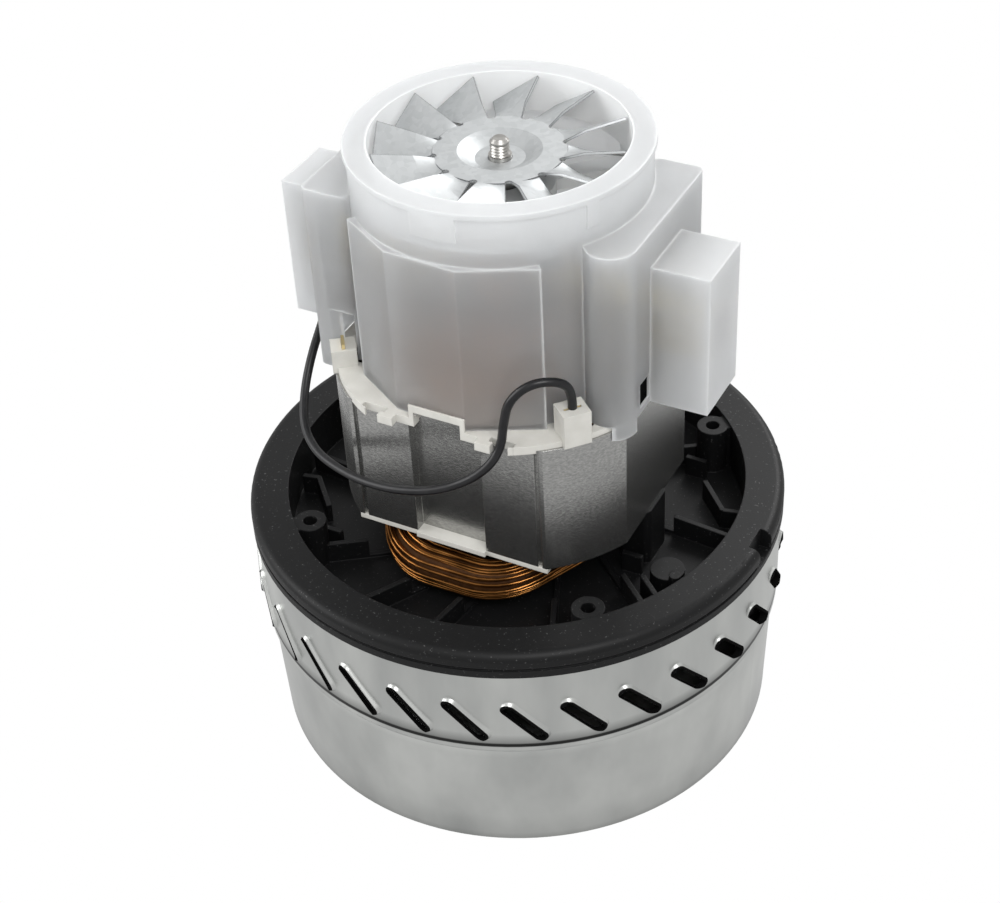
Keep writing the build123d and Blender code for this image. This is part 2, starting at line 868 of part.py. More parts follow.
for name, side in (("front", -1), ("rear", 1)):
    corners = []
    bends = []
    for turn in range(coil_turns):
        spread, lean = coil_place(turn)
        loop = coil_corners(spread, lean, side)
        # The last corner of a loop already stands in the next loop's place
        next_spread, next_lean = coil_place(turn + 1)
        loop[-1] = coil_corners(next_spread, next_lean, side)[-1]
        corners = corners + loop
        bends = bends + coil_radii(spread, lean)[:-1] + coil_radii(next_spread, next_lean)[-1:]
    # Both ends run straight up from their windows to the underside of a brush plate
    start = (corners[0][0], corners[0][1], plate_low)
    end = (corners[-3][0], corners[-3][1], plate_low)
    corners = [start] + corners[:-3] + [end]
    bends = bends[:-3]
    with BuildPart() as winding:
        with BuildLine() as route:
            FilletPolyline(*corners, radius=bends)
        with BuildSketch(Plane(origin=start, z_dir=(0, 0, -1))):
            Circle(coil_wire / 2)
        sweep(path=route.wires()[0])
    save(winding, f"field_winding_{name}")
    wire_line = route.wires()[0]
    print(name, "winding: least gap", round(least_gap(wire_line, coil_wire), 2))
    core_radius = coil_layer_radius - coil_wire / 2 - coil_core_gap
    with BuildPart() as core:
        with BuildLine() as ring:
            FilletPolyline(*coil_corners(0, 0, side), radius=coil_radii(0, 0), close=True)
        middle_line = ring.wires()[0]
        with BuildSketch(Plane(origin=middle_line @ 0, z_dir=middle_line % 0)):
            Circle(core_radius)
        sweep(path=middle_line)
    save(core, f"field_core_{name}")

# Upper end insulator: a plate on the stack, tongues beyond its long faces with slots for
# the lead, an arch over each recess, and two terminal blocks
blocks = (
    (front_block_angle, front_block_rise, -contact_recess, front_block_width),
    (left_block_angle, left_block_rise, contact_rise, left_block_width),
)
with BuildPart() as upper_insulator_frame:
    with BuildSketch(Plane.XY.offset(stack_top)):
        Circle(upper_ledge_radius)
        Rectangle(2 * stack_half_x, 2 * tongue_half_y, mode=Mode.INTERSECT)
        stack_windows(press_gap)
        with PolarLocations(screw_circle_radius, 2):
            Circle(screw_head_radius + running_gap, mode=Mode.SUBTRACT)
    extrude(amount=upper_insulator)
    for side in (-1, 1):
        # The part beyond the long face hangs lower than the top of the stack
        with BuildSketch(Plane.XY.offset(ledge_top)):
            Circle(upper_ledge_radius)
            hang_start = stack_half_y + cover_stack_gap
            with Locations((0, side * (hang_start + tongue_half_y) / 2)):
                Rectangle(
                    2 * stack_half_x,
                    tongue_half_y - hang_start,
                    mode=Mode.INTERSECT,
                )
        extrude(amount=-upper_insulator - tongue_drop)
        with BuildSketch(Plane.XY.offset(stack_top - tongue_drop - cut_overrun)):
            with Locations((0, side * (flat_half_y + tongue_half_y) / 2)):
                Rectangle(2 * tongue_start, tongue_half_y - flat_half_y)
            with Locations((0, side * (stack_half_y - recess_depth + flat_half_y) / 2)):
                Rectangle(2 * arch_half, flat_half_y - stack_half_y + recess_depth)
            # Slots for the lead, open to the edge
            for end in (-1, 1):
                with Locations((end * slot_middle_x, side * (slot_start_y + tongue_half_y) / 2)):
                    Rectangle(slot_mouth, tongue_half_y - slot_start_y)
                with Locations((end * slot_middle_x, side * (slot_start_y + slot_bar / 2))):
                    Rectangle(slot_bar_length, slot_bar)
        extrude(amount=tongue_drop + upper_insulator + 2 * cut_overrun, mode=Mode.SUBTRACT)
        with BuildSketch(Plane.XZ.offset(-side * flat_half_y)):
            with Locations((0, (ledge_top + arch_top) / 2)):
                Rectangle(2 * (arch_half + arch_post), arch_top - ledge_top)
            with Locations((0, (ledge_top + arch_low) / 2)):
                Rectangle(2 * arch_half, arch_low - ledge_top, mode=Mode.SUBTRACT)
        extrude(amount=side * arch_thickness)
    for angle, rise, proud, width in blocks:
        block_plane = Plane(
            origin=polar(block_circle_radius, angle, stack_top),
            x_dir=polar(1, angle, 0),
            z_dir=(0, 0, 1),
        )
        with BuildSketch(block_plane):
            Rectangle(block_depth, width)
        extrude(amount=rise)
        with BuildSketch(block_plane.offset(rise)):
            Rectangle(contact_thickness + 2 * press_gap, contact_width + 2 * press_gap)
        extrude(amount=-contact_seat, mode=Mode.SUBTRACT)
save(upper_insulator_frame, "upper_insulator")

# Contacts standing in the terminal blocks
for name, (angle, rise, proud, width) in zip(("front", "left"), blocks):
    with BuildPart() as contact:
        contact_plane = Plane(
            origin=polar(block_circle_radius, angle, stack_top + rise - contact_seat),
            x_dir=polar(1, angle, 0),
            z_dir=(0, 0, 1),
        )
        with BuildSketch(contact_plane):
            Rectangle(contact_thickness, contact_width)
        extrude(amount=contact_seat + proud)
    save(contact, f"contact_{name}")

# Stator screws, heads on the stack and threads in the bracket's posts
with BuildPart() as stator_screws:
    with BuildSketch(Plane.XY.offset(stack_low - screw_grip + cut_overrun)):
        with PolarLocations(screw_circle_radius, 2):
            Circle(screw_radius)
    extrude(amount=stack_height + screw_grip - cut_overrun)
    with BuildSketch(Plane.XY.offset(stack_top)):
        with PolarLocations(screw_circle_radius, 2):
            Circle(screw_head_radius)
    extrude(amount=screw_head_height)
save(stator_screws, "stator_screws")

# Motor cover: main drum, raised panels, side slabs with a half-round pillar, ears,
# fan well, spokes and the upper bearing hub
slab_top = cover_top - slab_drop
ear_top = cover_top - ear_top_drop
panel_top = cover_top - panel_drop
window_low = stack_top + window_rise
window_high = window_low + window_height
fan_well_low = cover_top - fan_well_depth
tab_low = cover_top - tab_drop
ring_low = cover_top - ring_band
panel_radius = cover_radius + panel_proud
pillar_radius = (slab_outer - slab_inner) / 2
slab_middle = (slab_outer + slab_inner) / 2
cavity_radius = cover_radius - cover_wall
bearing_hub_radius = bearing_radius + bearing_hub_wall
spoke_low = spoke_top - spoke_thickness


def slab_plan(side, inset, mode=Mode.ADD):
    """The plan of one side slab in a sketch, one end half round, the other square."""
    inner_x = side * (slab_inner + inset)
    outer_x = side * (slab_outer - inset)
    round_y = -side * (slab_half - pillar_radius)
    square_y = side * (slab_half - inset)
    with BuildLine() as edge:
        FilletPolyline(
            (inner_x, round_y),
            (inner_x, square_y),
            (outer_x, square_y),
            (outer_x, round_y),
            radius=slab_round,
        )
        tip_y = round_y - side * (pillar_radius - inset)
        ThreePointArc((outer_x, round_y), (side * slab_middle, tip_y), (inner_x, round_y))
    make_face(edge.edges(), mode=mode)


def sector_plan(radius, first, last):
    """A slice of a disc in a sketch, from one angle to another."""
    start = polar(radius, first, 0)[:2]
    crown = polar(radius, (first + last) / 2, 0)[:2]
    finish = polar(radius, last, 0)[:2]
    with BuildLine() as edge:
        ThreePointArc(start, crown, finish)
        Line(finish, (0, 0))
        Line((0, 0), start)
    make_face(edge.edges())


def cover_walls(level):
    """The plan of the cover's walls at one level above the ledge."""
    Circle(ring_radius if level > ring_low else cover_radius)
    for side in (-1, 1):
        if level > tab_low:
            for first, last in tab_spans:
                turn = (1 - side) * quarter_turn
                sector_plan(ring_radius, first + turn, last + turn)
        if level < slab_top:
            slab_plan(side, 0)
        if level < ear_top:
            with Locations((side * (slab_middle + ear_reach) / 2, 0)):
                Rectangle(ear_reach - slab_middle, 2 * ear_half)
        if level < panel_top:
            turn = (1 - side) * quarter_turn
            corners = [polar(panel_radius, angle + turn, 0)[:2] for angle in panel_angles]
            with BuildLine() as edge:
                Polyline((0, 0), *corners, close=True)
            make_face(edge.edges())
    # The inside, open from the drum through the slabs to the ears
    if level < fan_well_low:
        Circle(cavity_radius, mode=Mode.SUBTRACT)
    else:
        Circle(fan_well_radius, mode=Mode.SUBTRACT)
    for side in (-1, 1):
        if level < slab_top - cover_wall:
            slab_plan(side, cover_wall, Mode.SUBTRACT)
            passage_start = slab_inner - cover_wall
            with Locations((side * (passage_start + slab_middle) / 2, 0)):
                Rectangle(
                    slab_middle - passage_start,
                    2 * (slab_half - pillar_radius),
                    mode=Mode.SUBTRACT,
                )
        if level < ear_top - ear_wall:
            with Locations((side * (slab_middle + ear_reach - ear_wall) / 2, 0)):
                Rectangle(
                    ear_reach - ear_wall - slab_middle,
                    2 * (ear_half - ear_wall),
                    mode=Mode.SUBTRACT,
                )
        if window_low < level < window_high:
            with Locations((side * slab_outer, -side * (window_start + window_width / 2))):
                Rectangle(window_cut * cover_wall, window_width, mode=Mode.SUBTRACT)


cover_levels = [
    ledge_top,
    window_low,
    window_high,
    ear_top - ear_wall,
    ear_top,
    panel_top,
    slab_top - cover_wall,
    slab_top,
    fan_well_low,
    tab_low,
    ring_low,
    cover_top,
]
with BuildPart() as motor_cover:
    for low, high in zip(cover_levels, cover_levels[1:]):
        with BuildSketch(Plane.XY.offset(low)):
            cover_walls((low + high) / 2)
        extrude(amount=high - low)
    # The slabs' skirts, outside the stack and below the ledge
    with BuildSketch(Plane.XY.offset(ledge_top)):
        for side in (-1, 1):
            slab_plan(side, 0)
        Circle(stack_radius + cover_stack_gap, mode=Mode.SUBTRACT)
        Rectangle(2 * slab_outer, 2 * (slab_half - pillar_radius), mode=Mode.SUBTRACT)
    extrude(amount=-slab_skirt - upper_insulator)
    # Notches over the recesses of the stack, behind the insulator's arches
    with BuildSketch(Plane.XY.offset(ledge_top)):
        for side in (-1, 1):
            with Locations((0, side * cover_radius)):
                Rectangle(2 * arch_half, notch_reach)
    extrude(amount=arch_rise, mode=Mode.SUBTRACT)
    # A notch in the left slab for the terminal block that stands there
    notch_plane = Plane(
        origin=polar(block_circle_radius, left_block_angle, stack_top - slab_skirt),
        x_dir=polar(1, left_block_angle, 0),
        z_dir=(0, 0, 1),
    )
    with BuildSketch(notch_plane):
        Rectangle(block_depth + 2 * block_gap, left_block_width + 2 * block_gap)
    extrude(amount=slab_skirt + left_block_rise + block_notch_rise, mode=Mode.SUBTRACT)
    # Spokes and bearing hub
    with BuildSketch(Plane.XY.offset(spoke_low)):
        with PolarLocations(cavity_radius / 2, spoke_count, start_angle=180 / spoke_count):
            Rectangle(cavity_radius + cover_wall, spoke_width)
    extrude(amount=spoke_thickness)
    with BuildSketch(Plane.XY.offset(top_bearing_low)):
        Circle(bearing_hub_radius)
    extrude(amount=bearing_width + bearing_cap)
    # Short struts join the fan well to each spoke
    for index in range(spoke_count):
        angle = (index + 0.5) * 360 / spoke_count
        strut_middle = polar(fan_well_radius + fan_well_wall / 2, angle, spoke_low)
        with BuildSketch(Plane(strut_middle, x_dir=polar(1, angle, 0), z_dir=(0, 0, 1))):
            Rectangle(fan_well_wall, spoke_width)
        extrude(amount=fan_well_low - spoke_low)
    with BuildSketch(Plane.XY.offset(top_bearing_low)):
        Circle(bearing_radius + press_gap)
    extrude(amount=bearing_width, mode=Mode.SUBTRACT)
    with BuildSketch(Plane.XY.offset(top_bearing_high)):
        Circle(bush_radius + running_gap)
    extrude(amount=bearing_cap, mode=Mode.SUBTRACT)
save(motor_cover, "motor_cover")

# Brush gear: a plate across each slab, a sleeve on it, a cap, a spring and the brush
sleeve_half_width = brush_width / 2 + brush_clearance + holder_wall
sleeve_half_height = brush_height / 2 + brush_clearance + holder_wall
cap_end = ear_reach - ear_wall - press_gap
sleeve_end = cap_end - holder_cap_thickness
brush_start = commutator_radius + brush_gap
spring_start = brush_start + brush_length + spring_gap
spring_radius = brush_width / 2
for name, side in (("left", -1), ("right", 1)):
    plate_end = slab_outer - cover_wall - press_gap
    with BuildPart() as brush_plate:
        with BuildSketch(Plane.XY.offset(plate_low)):
            with Locations((side * (holder_plate_start + plate_end) / 2, 0)):
                Rectangle(plate_end - holder_plate_start, 2 * holder_plate_half_y)
        extrude(amount=holder_plate_thickness)
    save(brush_plate, f"brush_plate_{name}")

    with BuildPart() as sleeve:
        with BuildSketch(Plane.YZ.offset(side * holder_start)):
            with Locations((0, brush_level)):
                Rectangle(2 * sleeve_half_width, 2 * sleeve_half_height)
                Rectangle(
                    2 * (sleeve_half_width - holder_wall),
                    2 * (sleeve_half_height - holder_wall),
                    mode=Mode.SUBTRACT,
                )
        extrude(amount=side * (sleeve_end - holder_start))
    save(sleeve, f"brush_sleeve_{name}")

    with BuildPart() as brush_cap:
        with BuildSketch(Plane.YZ.offset(side * sleeve_end)):
            with Locations((0, brush_level)):
                Rectangle(2 * sleeve_half_width, 2 * sleeve_half_height)
        extrude(amount=side * holder_cap_thickness)
    save(brush_cap, f"brush_cap_{name}")

    with BuildPart() as brush_spring:
        with BuildSketch(Plane.YZ.offset(side * spring_start)):
            with Locations((0, brush_level)):
                Circle(spring_radius - spring_gap)
                Circle(spring_radius - spring_gap - spring_wire, mode=Mode.SUBTRACT)
        extrude(amount=side * (sleeve_end - spring_start))
    save(brush_spring, f"brush_spring_{name}")

    with BuildPart() as brush:
        with BuildSketch(Plane.YZ.offset(side * commutator_hub_radius)):
            with Locations((0, brush_level)):
                Rectangle(brush_width, brush_height)
        extrude(amount=side * (brush_start + brush_length - commutator_hub_radius))
        with BuildSketch(Plane.XY.offset(commutator_low)):
            Circle(brush_start)
        extrude(amount=commutator_length, mode=Mode.SUBTRACT)
    save(brush, f"carbon_brush_{name}")

# Cooling fan: a dished disc with twisted blades, cut from one sheet
disc_low = fan_plane - fan_sheet
tip_bore = shaft_tip_radius + press_gap
blade_sections = (
    (fan_disc_radius - fan_relief_radius, fan_blade_root_width, 0),
    (fan_disc_radius + fan_bend_length, fan_blade_bend_width, fan_bend_angle),
    (fan_tip_radius, fan_blade_tip_width, fan_tip_angle),
)
with BuildPart() as cooling_fan:
    with BuildSketch(Plane.XZ):
        with BuildLine():
            Polyline(
                (tip_bore, bush_seat),
                (fan_dish_radius, bush_seat),
                (fan_dish_edge, disc_low),
                (fan_disc_radius, disc_low),
                (fan_disc_radius, fan_plane),
                (fan_dish_edge, fan_plane),
                (fan_dish_radius, bush_seat + fan_sheet),
                (tip_bore, bush_seat + fan_sheet),
                close=True,
            )
        make_face()
    revolve(axis=Axis.Z)
    for index in range(fan_blades):
        angle = fan_first_angle + index * 360 / fan_blades
        for radius, width, tilt in blade_sections:
            with BuildSketch(tangent_plane(radius, angle, fan_plane - fan_sheet / 2)):
                Rectangle(width, fan_blade_sheet, rotation=-tilt)
        loft(ruled=True)
    with BuildSketch(Plane.XY.offset(fan_plane - fan_dish_depth)):
        first_hole = fan_first_angle + 180 / fan_blades
        with PolarLocations(fan_disc_radius, fan_blades, start_angle=first_hole):
            Circle(fan_relief_radius)
    extrude(amount=2 * fan_dish_depth, mode=Mode.SUBTRACT)
save(cooling_fan, "cooling_fan")
shoulder = top_bearing_high + bush_flange
turned(
    "fan_bush",
    (
        (shaft_bore, top_bearing_high),
        (bush_radius, top_bearing_high),
        (bush_radius, bush_seat),
        (tip_bore, bush_seat),
        (tip_bore, shoulder),
        (shaft_bore, shoulder),
    ),
)

# Lead from the left brush sleeve, round the stack and into the front terminal block
lead_start = brush_level - sleeve_half_height
lead_end = stack_top + front_block_rise
lead_route = (
    (-52.0, -1.5, lead_start),
    (-52.0, -1.5, 117.0),
    (-51.8, -9.6, 109.8),
    (-51.0, -17.0, 104.6),
    (-49.4, -24.4, 98.2),
    (-45.4, -32.0, 93.4),
    (-38.0, -38.2, 92.0),
    (-29.2, -42.4, 92.6),
    (-19.6, -45.6, 93.7),
    (-9.0, -47.2, 95.6),
    (1.6, -46.6, 98.2),
    (9.9, -44.1, 102.0),
    (16.2, -42.6, 108.2),
    (17.9, -39.6, 112.6),
    (18.7, -39.4, 119.4),
    (20.0, -38.8, 126.4),
    (25.0, -36.2, 131.4),
    (30.6, -31.6, 130.4),
    (31.9, -28.6, 125.8),
    (31.9, -28.6, lead_end),
)


def cord_radii(route):
    """The bend radius at each inner point, as large as its two runs allow."""
    radii = []
    for before, here, after in zip(route, route[1:], route[2:]):
        arriving = Vector(here) - Vector(before)
        leaving = Vector(after) - Vector(here)
        half_turn = radians(arriving.get_angle(leaving)) / 2
        radii.append(cord_run_share * min(arriving.length, leaving.length) / tan(half_turn))
    return radii


lead_radii = cord_radii(lead_route)
print("lead bend radii", [round(radius, 1) for radius in lead_radii])
with BuildPart() as lead_wire:
    with BuildLine() as lead_line:
        FilletPolyline(*lead_route, radius=lead_radii)
    lead_path = lead_line.wires()[0]
    with BuildSketch(Plane(origin=lead_path @ 0, z_dir=lead_path % 0)):
        Circle(lead_diameter / 2)
    sweep(path=lead_path)
lead_share = lead_wire.part.volume / (pi * lead_diameter ** 2 / 4 * lead_path.length)
print("lead length", round(lead_path.length, 1), "volume over section times length", round(lead_share, 4))
save(lead_wire, "lead_wire")
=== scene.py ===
import math
import random

import bpy
from mathutils import Matrix, Vector


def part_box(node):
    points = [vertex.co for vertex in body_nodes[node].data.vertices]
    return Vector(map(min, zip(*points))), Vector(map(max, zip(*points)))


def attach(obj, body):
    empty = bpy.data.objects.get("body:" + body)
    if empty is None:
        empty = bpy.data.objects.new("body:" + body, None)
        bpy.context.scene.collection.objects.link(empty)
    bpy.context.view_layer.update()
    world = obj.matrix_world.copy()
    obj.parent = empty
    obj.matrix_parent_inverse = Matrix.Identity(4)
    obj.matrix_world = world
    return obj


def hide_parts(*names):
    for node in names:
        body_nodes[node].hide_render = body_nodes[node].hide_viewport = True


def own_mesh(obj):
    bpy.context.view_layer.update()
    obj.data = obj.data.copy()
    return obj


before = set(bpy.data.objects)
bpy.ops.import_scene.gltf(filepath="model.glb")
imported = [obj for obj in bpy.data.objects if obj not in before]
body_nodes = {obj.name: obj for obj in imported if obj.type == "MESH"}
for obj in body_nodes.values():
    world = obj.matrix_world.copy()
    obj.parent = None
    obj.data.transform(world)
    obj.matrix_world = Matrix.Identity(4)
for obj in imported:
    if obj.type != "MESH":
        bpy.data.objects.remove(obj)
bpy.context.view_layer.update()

scene = bpy.context.scene
scene.view_settings.view_transform = "Standard"

# ---------------------------------------------------------------- camera
centre = Vector((0.194324, -0.354973, 0.396775))
elevation, yaw, roll = 0.669, -0.511, -0.057
level = math.cos(elevation)
forward = Vector((math.sin(yaw) * level, math.cos(yaw) * level, -math.sin(elevation)))
right = forward.cross(Vector((0, 0, 1))).normalized()
upward = right.cross(forward)
turned_right = right * math.cos(roll) + upward * math.sin(roll)
turned_up = -right * math.sin(roll) + upward * math.cos(roll)
lens = bpy.data.cameras.new("camera")
lens.sensor_fit = "HORIZONTAL"
lens.sensor_width = 36.0
lens.lens = 68.632
lens.clip_start = 0.01
lens.clip_end = 10.0
camera = bpy.data.objects.new("camera", lens)
scene.collection.objects.link(camera)
turn = Matrix((turned_right, turned_up, -forward)).transposed().to_4x4()
camera.matrix_world = Matrix.Translation(centre) @ turn
scene.camera = camera


# ---------------------------------------------------------------- material helpers
def material(name):
    """A new node material with its shader, and the shader's node tree."""
    made = bpy.data.materials.new(name)
    made.use_nodes = True
    tree = made.node_tree
    tree.nodes.clear()
    out = tree.nodes.new("ShaderNodeOutputMaterial")
    shader = tree.nodes.new("ShaderNodeBsdfPrincipled")
    tree.links.new(shader.outputs[0], out.inputs["Surface"])
    return made, tree, shader


def feed(tree, value, socket):
    """Give an input its value, which is another node's output or a plain value."""
    if hasattr(value, "is_linked"):
        tree.links.new(value, socket)
    else:
        socket.default_value = value


def place(tree, stretch=(1, 1, 1)):
    """Object coordinates with a stretch along each axis."""
    where = tree.nodes.new("ShaderNodeTexCoord")
    mapping = tree.nodes.new("ShaderNodeMapping")
    mapping.inputs["Scale"].default_value = stretch
    tree.links.new(where.outputs["Object"], mapping.inputs["Vector"])
    return mapping.outputs[0]


def position(tree):
    """A shaded point's position, whole and as X, Y and Z, metres."""
    where = tree.nodes.new("ShaderNodeNewGeometry").outputs["Position"]
    parts = tree.nodes.new("ShaderNodeSeparateXYZ")
    tree.links.new(where, parts.inputs[0])
    return where, parts.outputs["X"], parts.outputs["Y"], parts.outputs["Z"]


def noise(tree, scale, detail=3.0, stretch=(1, 1, 1)):
    """Fine noise between 0 and 1."""
    grain = tree.nodes.new("ShaderNodeTexNoise")
    grain.inputs["Scale"].default_value = scale
    grain.inputs["Detail"].default_value = detail
    tree.links.new(place(tree, stretch), grain.inputs["Vector"])
    return grain.outputs["Fac"]


def calc(tree, operation, *values):
    """A Math node's result, from sockets and numbers."""
    made = tree.nodes.new("ShaderNodeMath")
    made.operation = operation
    for socket, value in zip(made.inputs, values):
        feed(tree, value, socket)
    return made.outputs[0]


def span(tree, value, low, high, first=0.0, last=1.0):
    """A value between two levels turned into a number between two others."""
    mapped = tree.nodes.new("ShaderNodeMapRange")
    tree.links.new(value, mapped.inputs["Value"])
    for socket, number in (("From Min", low), ("From Max", high), ("To Min", first), ("To Max", last)):
        mapped.inputs[socket].default_value = number
    return mapped.outputs[0]


def ramp(tree, value, low, high, first, last):
    """A value between two levels turned into a colour or grey between two others."""
    steps = tree.nodes.new("ShaderNodeValToRGB")
    for stop, level, shade in zip(steps.color_ramp.elements, (low, high), (first, last)):
        stop.position = level
        stop.color = (*shade, 1) if hasattr(shade, "__len__") else (shade, shade, shade, 1)
    tree.links.new(value, steps.inputs[0])
    return steps.outputs[0]


def mix_colours(tree, share, first, second, kind="MIX"):
    """Two colours mixed or multiplied by a share."""
    mixed = tree.nodes.new("ShaderNodeMix")
    mixed.data_type = "RGBA"
    mixed.blend_type = kind
    for number, value in ((0, share), (6, first), (7, second)):
        feed(tree, value, mixed.inputs[number])
    return mixed.outputs[2]


def mix_shaders(tree, share, first, second):
    """Two shaders mixed by a share."""
    mixed = tree.nodes.new("ShaderNodeMixShader")
    for socket, value in zip(mixed.inputs, (share, first, second)):
        feed(tree, value, socket)
    return mixed.outputs[0]


def diffuse(tree, colour):
    """A matt shader of one colour."""
    matt = tree.nodes.new("ShaderNodeBsdfDiffuse")
    matt.inputs["Color"].default_value = (*colour, 1)
    return matt.outputs[0]


def by_height(tree, colour, low, high, stops, share=1.0):
    """A colour multiplied by greys that are set along the height, metres."""
    greys = tree.nodes.new("ShaderNodeValToRGB")
    while len(greys.color_ramp.elements) < len(stops):
        greys.color_ramp.elements.new(0.5)
    for stop, (at, grey) in zip(greys.color_ramp.elements, stops):
        stop.position = at
        stop.color = (grey, grey, grey, 1)
    tree.links.new(span(tree, position(tree)[3], low, high), greys.inputs[0])
    return mix_colours(tree, share, colour, greys.outputs[0], "MULTIPLY")


def edges(tree, radius, turned, most):
    """How near an edge is, 0 to a most, from how far the normal turns once edges are rounded."""
    where = tree.nodes.new("ShaderNodeNewGeometry")
    rounded = tree.nodes.new("ShaderNodeBevel")
    rounded.samples = 8
    rounded.inputs["Radius"].default_value = radius
    facing = tree.nodes.new("ShaderNodeVectorMath")
    facing.operation = "DOT_PRODUCT"
    tree.links.new(rounded.outputs[0], facing.inputs[0])
    tree.links.new(where.outputs["Normal"], facing.inputs[1])
    return span(tree, facing.outputs["Value"], 0.995, turned, 0.0, most)


def bump(tree, shader, height, strength, distance, edge=0.0):
    """Fine relief from a height, on edges that look rounded by a radius."""
    raised = tree.nodes.new("ShaderNodeBump")
    if edge:
        soft = tree.nodes.new("ShaderNodeBevel")
        soft.samples = 6
        soft.inputs["Radius"].default_value = edge
        tree.links.new(soft.outputs[0], raised.inputs["Normal"])
    raised.inputs["Strength"].default_value = strength
    raised.inputs["Distance"].default_value = distance
    tree.links.new(height, raised.inputs["Height"])
    tree.links.new(raised.outputs[0], shader.inputs["Normal"])


def plain(
    name, low, high, rough, metal=0.0, scale=300.0, relief=0.1, depth=0.00005, stretch=(1, 1, 1), edge=0.0, **sockets
):
    """A surface whose colour, roughness and relief vary a little with fine noise."""
    made, tree, shader = material(name)
    grain = noise(tree, scale, 4.0, stretch)
    tree.links.new(ramp(tree, grain, 0.3, 0.7, low, high), shader.inputs["Base Color"])
    tree.links.new(ramp(tree, grain, 0.3, 0.7, rough - 0.05, rough + 0.05), shader.inputs["Roughness"])
    shader.inputs["Metallic"].default_value = metal
    bump(tree, shader, grain, relief, depth, edge)
    for socket, value in sockets.items():
        shader.inputs[socket.replace("_", " ")].default_value = value
    return made


# ---------------------------------------------------------------- plain materials
bright = plain("bright_steel", (0.36, 0.35, 0.33), (0.48, 0.47, 0.45), 0.34, 1.0, 400.0)
aluminium = plain("aluminium_sheet", (0.68, 0.69, 0.70), (0.76, 0.77, 0.78), 0.38, 1.0, 150.0)
brass = plain("brass_sheet", (0.70, 0.55, 0.26), (0.80, 0.66, 0.36), 0.32, 1.0, 300.0)
spring = plain("spring_steel", (0.42, 0.42, 0.43), (0.52, 0.52, 0.53), 0.30, 1.0, 300.0)
compound = plain("moulding_compound", (0.10, 0.06, 0.04), (0.15, 0.09, 0.06), 0.45, 0.0, 300.0)
carbon = plain("carbon", (0.05, 0.05, 0.055), (0.10, 0.10, 0.11), 0.42, 0.2, 800.0)
bare_copper = plain("bare_copper", (0.62, 0.33, 0.20), (0.74, 0.44, 0.28), 0.30, 1.0, 300.0)
enamel = plain("enamelled_copper", (0.14, 0.055, 0.012), (0.44, 0.19, 0.05), 0.20, 0.9, 160.0, 0.1, 0.00002)
# Painted shade: the coil core is near black, standing for the shade between the wire turns
coil_shade_core = plain(
    "coil_shade_core", (0.03, 0.012, 0.004), (0.06, 0.025, 0.008), 0.7, 0.0, 900.0, Specular_IOR_Level=0.1
)
ivory = plain("ivory_insulator", (0.56, 0.55, 0.51), (0.64, 0.63, 0.59), 0.42, 0.0, 200.0, edge=0.0003)
lead_black = plain(
    "black_lead", (0.005, 0.005, 0.006), (0.010, 0.010, 0.011), 0.34, 0.0, 500.0, Specular_IOR_Level=0.35
)

# ---------------------------------------------------------------- zinc of the band and the fan shell
zinc = plain(
    "zinc_steel", (0.47, 0.48, 0.47), (0.63, 0.64, 0.62), 0.34, 1.0, 60.0, 0.05, 0.00005, (1, 1, 0.35), 0.0007
)
shell_zinc = plain(
    "shell_zinc", (0.44, 0.45, 0.44), (0.64, 0.65, 0.63), 0.33, 1.0, 45.0, 0.05, 0.00005, (1, 1, 0.6)
)
band_foot, seam_top = 0.0363, 0.0423
# Painted shade: the shell is darker towards its bottom edge, with a painted highlight just under the band, and a
# painted shadow runs as a dark line round the foot of the band
painted_foot_shade = ((0, 0.62), (0.06, 0.80), (0.25, 0.93), (0.9, 1.0), (0.96, 1.12))
painted_seam_shadow = ((0, 1.0), (0.24, 1.0), (0.29, 0.05), (0.43, 0.05), (0.50, 0.55), (1.0, 1.0))
for made, low, high, stops in (
    (shell_zinc, 0.0, band_foot, painted_foot_shade),
    (zinc, band_foot, seam_top, painted_seam_shadow),
):
    tree = made.node_tree
    base = tree.nodes["Principled BSDF"].inputs["Base Color"]
    tree.links.new(by_height(tree, base.links[0].from_socket, low, high, stops), base)

# Painted shade: the edges of the slots are painted nearly black, within a reach of each slot's middle line on the
# unrolled band
slot_step = math.tau / 30
first_slot = math.radians(-2.4)
slot_lean = math.radians(49)
slot_level, slot_half_length = 0.0467, 0.0060
band_radius = 0.072
shade_reach, shade_shift = 0.00205, 0.0003
painted_shade_black = (0.006, 0.006, 0.006)
tree = zinc.node_tree
_, x, y, z = position(tree)
turned = calc(tree, "ADD", calc(tree, "ARCTAN2", y, x), slot_step / 2 + math.tau - first_slot)
around = calc(tree, "SUBTRACT", calc(tree, "MODULO", turned, slot_step), slot_step / 2)
around = calc(tree, "MULTIPLY", around, band_radius)
rise = calc(tree, "SUBTRACT", z, slot_level)
along = calc(
    tree,
    "SUBTRACT",
    calc(tree, "MULTIPLY", around, math.cos(slot_lean)),
    calc(tree, "MULTIPLY", rise, math.sin(slot_lean)),
)
across = calc(
    tree,
    "ADD",
    calc(tree, "MULTIPLY", around, math.sin(slot_lean)),
    calc(tree, "MULTIPLY", rise, math.cos(slot_lean)),
)
across = calc(tree, "SUBTRACT", across, shade_shift)
past = calc(tree, "MAXIMUM", calc(tree, "SUBTRACT", calc(tree, "ABSOLUTE", along), slot_half_length), 0.0)
apart = calc(tree, "ADD", calc(tree, "MULTIPLY", past, past), calc(tree, "MULTIPLY", across, across))
# The mask of the painted slot shade
shaded = calc(tree, "LESS_THAN", calc(tree, "SQRT", apart), shade_reach)
metal = tree.nodes["Principled BSDF"].outputs[0]
slot_shade_painted = mix_shaders(tree, shaded, metal, diffuse(tree, painted_shade_black))
tree.links.new(slot_shade_painted, tree.nodes["Material Output"].inputs["Surface"])

